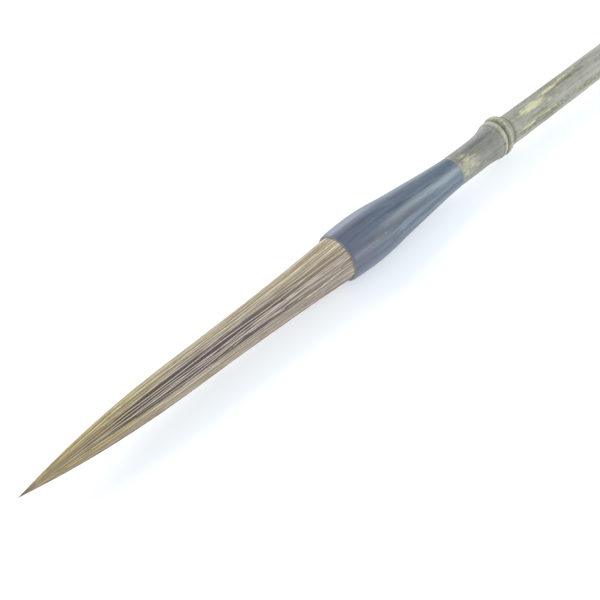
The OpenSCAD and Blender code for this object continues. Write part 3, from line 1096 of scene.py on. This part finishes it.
class BRUSH_OT_handle(bpy.types.Operator):
    """Grow the bamboo handle, with its slanted ridges, flutes, stains and scuffs"""
    bl_idname = "brush.handle"
    bl_label = "Handle"

    def execute(self, context):
        settings = context.scene.brush_bamboo
        start, end = FERRULE_END_X, CAP_X
        joints = joint_places()
        socket_r = DOWEL_R
        front_socket_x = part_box("ferrule_dowel")[1].x + GLUE_GAP
        back_socket_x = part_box("tail_cap")[0].x - GLUE_GAP
        outer_r = socket_r * 1.4    # more than any radius inside the sockets, less than any outside
        skin = smooth_line([p for p in rings_of("bamboo_handle") if p[1] > outer_r], 0.45 * MM)
        outline = [(front_socket_x, 0), (front_socket_x, socket_r), (start, socket_r)] + skin
        outline += [(end, socket_r), (back_socket_x, socket_r), (back_socket_x, 0)]
        straight_x = np.array([x for x, _ in outline])[:, None]

        def shape(x, r, angle):
            lean = 0 * x
            swell = wave(angle, x, ((140 * MM, 0.05 * MM), (53 * MM, 0.035 * MM), (19 * MM, 0.02 * MM)), 11)
            for number, joint in enumerate(joints):
                side = UPPER_ANGLE + number * math.pi * 0.9
                near_joint = np.exp(-((x - joint) / (4.5 * MM)) ** 2) * np.cos(angle - side)
                lean = lean + settings.slant * near_joint
                swell = swell + 0.5 * MM * near_joint
                # the shallow flute that runs up the bamboo from each joint
                run = rise(x - joint, 3 * MM) * np.clip(1 - (x - joint) / (70 * MM), 0, 1)
                swell = swell - 0.22 * MM * run * np.exp(-(turn_from(angle, side + 2.1) / 0.42) ** 2)
            # the culm isn't quite straight
            bow = rise(x - start, 26 * MM) * rise(end - x, 90 * MM)
            swell = swell + settings.bow * bow * bow * (3 - 2 * bow) * np.cos(angle - UPPER_ANGLE)
            clear = np.where(r > outer_r, rise(x - start, 2 * MM) * rise(end - x, 2 * MM), 0)
            return x + lean * clear, r + (swell + 0.04 * MM) * clear

        def values(x, r, angle):
            scuff, stain = scuffs_and_stains(x, angle, start, end)
            # the short stretch before the first joint is greyer, with one darker streak
            shade = 0.34 * rise(joints[0] - 1.0 * MM - x, 2 * MM) * rise(x - start, 0.8 * MM)
            shade = shade + 0.4 * spot(
                x, angle, start + 12 * MM, FRONT_ANGLE - math.radians(38), 14 * MM, math.radians(13))
            groove, ridge = 0 * x, 0 * x
            for joint in joints:
                place = straight_x + 0 * x - joint      # so that the lines lean with the ring
                # the darkness in the grooves is partly painted shade
                groove = np.maximum(groove, lines_round(place, JOINT_GROOVES, 1))
                # the pale lines are partly a painted highlight on the ring
                ridge = np.maximum(ridge, lines_round(place, JOINT_RIDGES, 1.3))
                stain = np.maximum(stain, 0.6 * np.clip(1.4 - np.abs(place + 1.5 * MM) / (3.4 * MM), 0, 1))
                shade = shade * rise(np.abs(place + 1.0 * MM) - 2 * MM, 3 * MM)
            front_edge = 0.9 * np.clip(1 - np.abs(x - start) / (0.6 * MM), 0, 1)
            ridge = np.maximum(ridge, front_edge)
            return {"scuff": scuff, "stain": stain, "groove": groove, "ridge": ridge, "shade": shade}

        handle = turned("bamboo_culm", outline, 112, shape, values)
        dress(handle, bamboo_material(settings))
        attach(handle, HANDLE_BODY)
        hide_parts("bamboo_handle")
        return {"FINISHED"}


# ---------- Tail cap ----------

class BRUSH_OT_tail_cap(bpy.types.Operator):
    """Turn the horn tail cap, with its spigot and its bore for a hanging loop"""
    bl_idname = "brush.tail_cap"
    bl_label = "Tail cap"

    def execute(self, context):
        eye_r = EYE["r_mm"] * MM
        end_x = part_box("tail_cap")[1].x
        eye_end = end_x - EYE["length_mm"] * MM
        rings = rings_of("tail_cap")
        tiny = 1e-6
        spigot = [p for p in rings if p[0] < CAP_X - tiny]
        skin = [p for p in rings if p[0] > CAP_X - tiny and abs(p[0] - eye_end) > tiny]
        body = [skin[0]] + smooth_line(skin[1:], 0.35 * MM)
        rim = 0.3 * MM
        outline = [(spigot[0][0], 0)] + spigot + [(CAP_X, spigot[-1][1])] + body
        outline += [
            (end_x, eye_r + rim), (end_x - rim * 0.3, eye_r + rim * 0.3), (end_x - rim, eye_r),
            (eye_end, eye_r), (eye_end, 0)]
        cap = turned(
            "turned_tail_cap", outline, 96, None,
            lambda x, r, angle: {
                "pale": spots(x, angle, end_x, CAP_PALE_STREAKS),
                "dark": spots(x, angle, end_x, CAP_DARK_STREAKS)})
        dress(cap, look("dark_horn", horn_material, context.scene.brush_horn))
        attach(cap, HANDLE_BODY)
        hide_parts("tail_cap")
        return {"FINISHED"}


# ---------- Stage ----------

# Each light's name, the direction that it shines from, its size and power, its colour, and whether it casts
# shadows and shows in reflections.
LIGHTS = (
    ("window", (-0.15, 0.74, 0.66), (0.8, 0.6), 4.5, (1.0, 0.985, 0.96), True, False),
    ("rear_sheen", (0.72, -0.45, 0.54), (0.34, 0.45), 3.2, (0.95, 0.98, 1.0), False, True),
    ("low_sheen", (0.3, -0.86, 0.3), (0.5, 0.3), 2.3, (0.96, 0.98, 1.0), False, True),
    ("rim_strip", (0.15, 0.96, 0.14), (0.9, 0.16), 3.0, (1.0, 1.0, 1.0), False, True),
)
SKY_OVERHEAD = (0.38, 0.41, 0.45)
SKY_AROUND = (0.93, 0.97, 1.0)
FLOOR_GLOW = (0.88, 0.95, 1.0)


def look_at(thing, target, back, distance):
    """Puts a light or the camera at a distance from target, in the direction back, and turns it to target."""
    thing.location = target + back * distance
    thing.rotation_mode = "QUATERNION"
    thing.rotation_quaternion = back.to_track_quat("Z", "Y")
    bpy.context.scene.collection.objects.link(thing)


def area_light(name, direction, size, energy, colour, shadow, reflected):
    """A soft rectangular light one metre away from the brush."""
    data = bpy.data.lights.new(name, "AREA")
    data.shape = "RECTANGLE"
    data.size, data.size_y = size
    data.energy = energy
    data.color = colour
    data.use_shadow = shadow
    light = bpy.data.objects.new(name, data)
    light.visible_glossy = reflected
    look_at(light, Vector((0, 0, AXIS_Z)), Vector(direction).normalized(), 1)


def floor_material(colour):
    """A matt white surface with a faint unevenness."""
    material, tree, shader, place = new_material("white_table")
    cloud = noise(tree, place, 6.0, 2.0)
    uneven = mixed(tree, cloud, [c * 0.985 for c in colour], colour)
    paint(tree, shader, uneven, scaled(tree, cloud, 0.1, 0.85))
    shader.inputs["Specular IOR Level"].default_value = 0.1
    shader.inputs["Emission Color"].default_value = (*FLOOR_GLOW, 1)
    shader.inputs["Emission Strength"].default_value = 0.17
    return material


def white_room():
    """An even pale surround, darker overhead."""
    world = bpy.data.worlds.new("white_room")
    world.use_nodes = True
    tree = world.node_tree
    direction = tree.nodes.new("ShaderNodeTexCoord").outputs["Generated"]
    overhead = Vector((0.35, 0.15, 0.92)).normalized()
    nearness = put(tree, "ShaderNodeVectorMath", {0: direction, 1: overhead}, operation="DOT_PRODUCT")
    share = ramp(tree, nearness.outputs["Value"], 0.45, 0.95)
    background = tree.nodes["Background"]
    tree.links.new(mixed(tree, share, SKY_AROUND, SKY_OVERHEAD), background.inputs["Color"])
    background.inputs["Strength"].default_value = 1.0
    return world


class BRUSH_OT_stage(bpy.types.Operator):
    """Set up the camera, the floor and the soft light"""
    bl_idname = "brush.stage"
    bl_label = "Stage"

    def execute(self, context):
        settings = context.scene.brush_stage
        half = 4.0
        floor_z = CAD_BOX[0].z - 0.1 * MM
        corners = [(x, y, floor_z) for x, y in ((-half, -half), (half, -half), (half, half), (-half, half))]
        mesh = bpy.data.meshes.new("table_top")
        mesh.from_pydata(corners, [], [(0, 1, 2, 3)])
        mesh.materials.append(floor_material(settings.floor))
        placed("table_top", mesh)
        context.scene.world = white_room()
        for light in LIGHTS:
            area_light(*light)
        context.scene.view_settings.view_transform = "Standard"

        data = bpy.data.cameras.new("view")
        data.sensor_width = 36
        data.lens = settings.lens
        camera = bpy.data.objects.new("view", data)
        turn, height = settings.azimuth, settings.elevation
        back = Vector((
            math.sin(turn) * math.cos(height), -math.cos(turn) * math.cos(height), math.sin(height)))
        look_at(camera, Vector(settings.aim), back, settings.distance)
        context.scene.camera = camera
        return {"FINISHED"}


# ---------- Add-on ----------

STEPS = (
    BRUSH_OT_tuft, BRUSH_OT_root, BRUSH_OT_ferrule, BRUSH_OT_handle, BRUSH_OT_tail_cap, BRUSH_OT_stage,
)
SETTINGS = {
    "brush_tuft": TuftSettings, "brush_horn": HornSettings, "brush_bamboo": BambooSettings,
    "brush_stage": StageSettings,
}


class BRUSH_PT_sidebar(bpy.types.Panel):
    """Settings and steps of the calligraphy brush"""
    bl_idname = "BRUSH_PT_sidebar"
    bl_label = "Calligraphy Brush"
    bl_space_type = "VIEW_3D"
    bl_region_type = "UI"
    bl_category = "Brush"

    def draw(self, context):
        for name, group in SETTINGS.items():
            box = self.layout.box()
            for key in group.__annotations__:
                box.prop(getattr(context.scene, name), key)
        for step in STEPS:
            self.layout.operator(step.bl_idname)


def register():
    for cls in (*SETTINGS.values(), *STEPS, BRUSH_PT_sidebar):
        bpy.utils.register_class(cls)
    for name, group in SETTINGS.items():
        setattr(bpy.types.Scene, name, PointerProperty(type=group))


def unregister():
    for name in SETTINGS:
        delattr(bpy.types.Scene, name)
    for cls in reversed((*SETTINGS.values(), *STEPS, BRUSH_PT_sidebar)):
        bpy.utils.unregister_class(cls)


def main():
    register()
    for step in STEPS:
        getattr(bpy.ops.brush, step.bl_idname.split(".")[1])()


if __name__ == "__main__":
    main()
